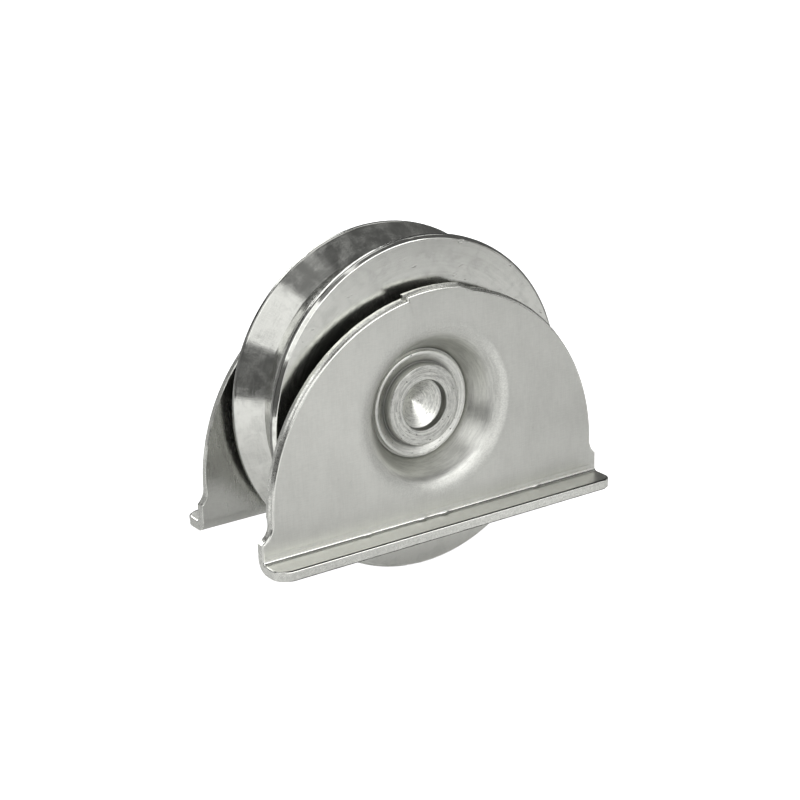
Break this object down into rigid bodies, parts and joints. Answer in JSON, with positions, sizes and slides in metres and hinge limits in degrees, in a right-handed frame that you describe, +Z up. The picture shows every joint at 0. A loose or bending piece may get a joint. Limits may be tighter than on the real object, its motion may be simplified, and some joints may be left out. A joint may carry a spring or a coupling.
{
  "type": "gate wheel",
  "caption": "Grooved sliding-gate wheel on a ball bearing, riveted between two arched, flanged steel side plates that recess into the gate's bottom rail.",
  "frame": {"origin": "middle of the wheel on its spin axis, which is also the middle of the whole part", "axes": "+X along the gate's travel and the plates' length, +Y along the wheel's spin axis from the front plate to the rear plate, +Z up towards the gate"},
  "size_m": [0.1184, 0.0558, 0.1],
  "materials": {
    "plated_sheet": "bright zinc-plated pressed sheet, satin",
    "plated_wheel": "turned and zinc-plated, groove brighter than the sides",
    "turned_steel": "turned and cold formed, zinc-plated",
    "bearing_steel": "ground bearing steel",
    "bearing_cage": "pressed steel",
    "bearing_shield": "pressed steel"
  },
  "bodies": {
    "support": {"front_side_plate": "plated_sheet", "rear_side_plate": "plated_sheet", "axle": "turned_steel", "spacer_front": "turned_steel", "spacer_rear": "turned_steel", "bearing_inner_ring": "bearing_steel"},
    "wheel": {"wheel": "plated_wheel", "bearing_outer_ring": "bearing_steel", "bearing_shield_front": "bearing_shield", "bearing_shield_rear": "bearing_shield"},
    "cage": {"bearing_cage_front": "bearing_cage", "bearing_cage_rear": "bearing_cage", "bearing_cage_rivets": "bearing_cage"},
    "ball_1": {"bearing_ball_1": "bearing_steel"},
    "ball_2": {"bearing_ball_2": "bearing_steel"},
    "ball_3": {"bearing_ball_3": "bearing_steel"},
    "ball_4": {"bearing_ball_4": "bearing_steel"},
    "ball_5": {"bearing_ball_5": "bearing_steel"},
    "ball_6": {"bearing_ball_6": "bearing_steel"},
    "ball_7": {"bearing_ball_7": "bearing_steel"},
    "ball_8": {"bearing_ball_8": "bearing_steel"}
  },
  "joints": [
    {"name": "wheel_spin", "type": "hinge", "parent": "support", "child": "wheel", "pos_m": [0, 0, 0], "axis": [0, 1, 0], "continuous": true},
    {"name": "cage_spin", "type": "hinge", "parent": "support", "child": "cage", "pos_m": [0, 0, 0], "axis": [0, 1, 0], "continuous": true},
    {"name": "ball_1_spin", "type": "hinge", "parent": "cage", "child": "ball_1", "pos_m": [0.01425, 0, 0], "axis": [0, 1, 0], "continuous": true},
    {"name": "ball_2_spin", "type": "hinge", "parent": "cage", "child": "ball_2", "pos_m": [0.01008, 0, 0.01008], "axis": [0, 1, 0], "continuous": true},
    {"name": "ball_3_spin", "type": "hinge", "parent": "cage", "child": "ball_3", "pos_m": [0, 0, 0.01425], "axis": [0, 1, 0], "continuous": true},
    {"name": "ball_4_spin", "type": "hinge", "parent": "cage", "child": "ball_4", "pos_m": [-0.01008, 0, 0.01008], "axis": [0, 1, 0], "continuous": true},
    {"name": "ball_5_spin", "type": "hinge", "parent": "cage", "child": "ball_5", "pos_m": [-0.01425, 0, 0], "axis": [0, 1, 0], "continuous": true},
    {"name": "ball_6_spin", "type": "hinge", "parent": "cage", "child": "ball_6", "pos_m": [-0.01008, 0, -0.01008], "axis": [0, 1, 0], "continuous": true},
    {"name": "ball_7_spin", "type": "hinge", "parent": "cage", "child": "ball_7", "pos_m": [0, 0, -0.01425], "axis": [0, 1, 0], "continuous": true},
    {"name": "ball_8_spin", "type": "hinge", "parent": "cage", "child": "ball_8", "pos_m": [0.01008, 0, -0.01008], "axis": [0, 1, 0], "continuous": true}
  ],
  "couplings": [
    {"joint": "cage_spin", "follows": "wheel_spin", "ratio": 0.61837},
    {"joint": "ball_1_spin", "follows": "wheel_spin", "ratio": 1.9937},
    {"joint": "ball_2_spin", "follows": "wheel_spin", "ratio": 1.9937},
    {"joint": "ball_3_spin", "follows": "wheel_spin", "ratio": 1.9937},
    {"joint": "ball_4_spin", "follows": "wheel_spin", "ratio": 1.9937},
    {"joint": "ball_5_spin", "follows": "wheel_spin", "ratio": 1.9937},
    {"joint": "ball_6_spin", "follows": "wheel_spin", "ratio": 1.9937},
    {"joint": "ball_7_spin", "follows": "wheel_spin", "ratio": 1.9937},
    {"joint": "ball_8_spin", "follows": "wheel_spin", "ratio": 1.9937}
  ]
}
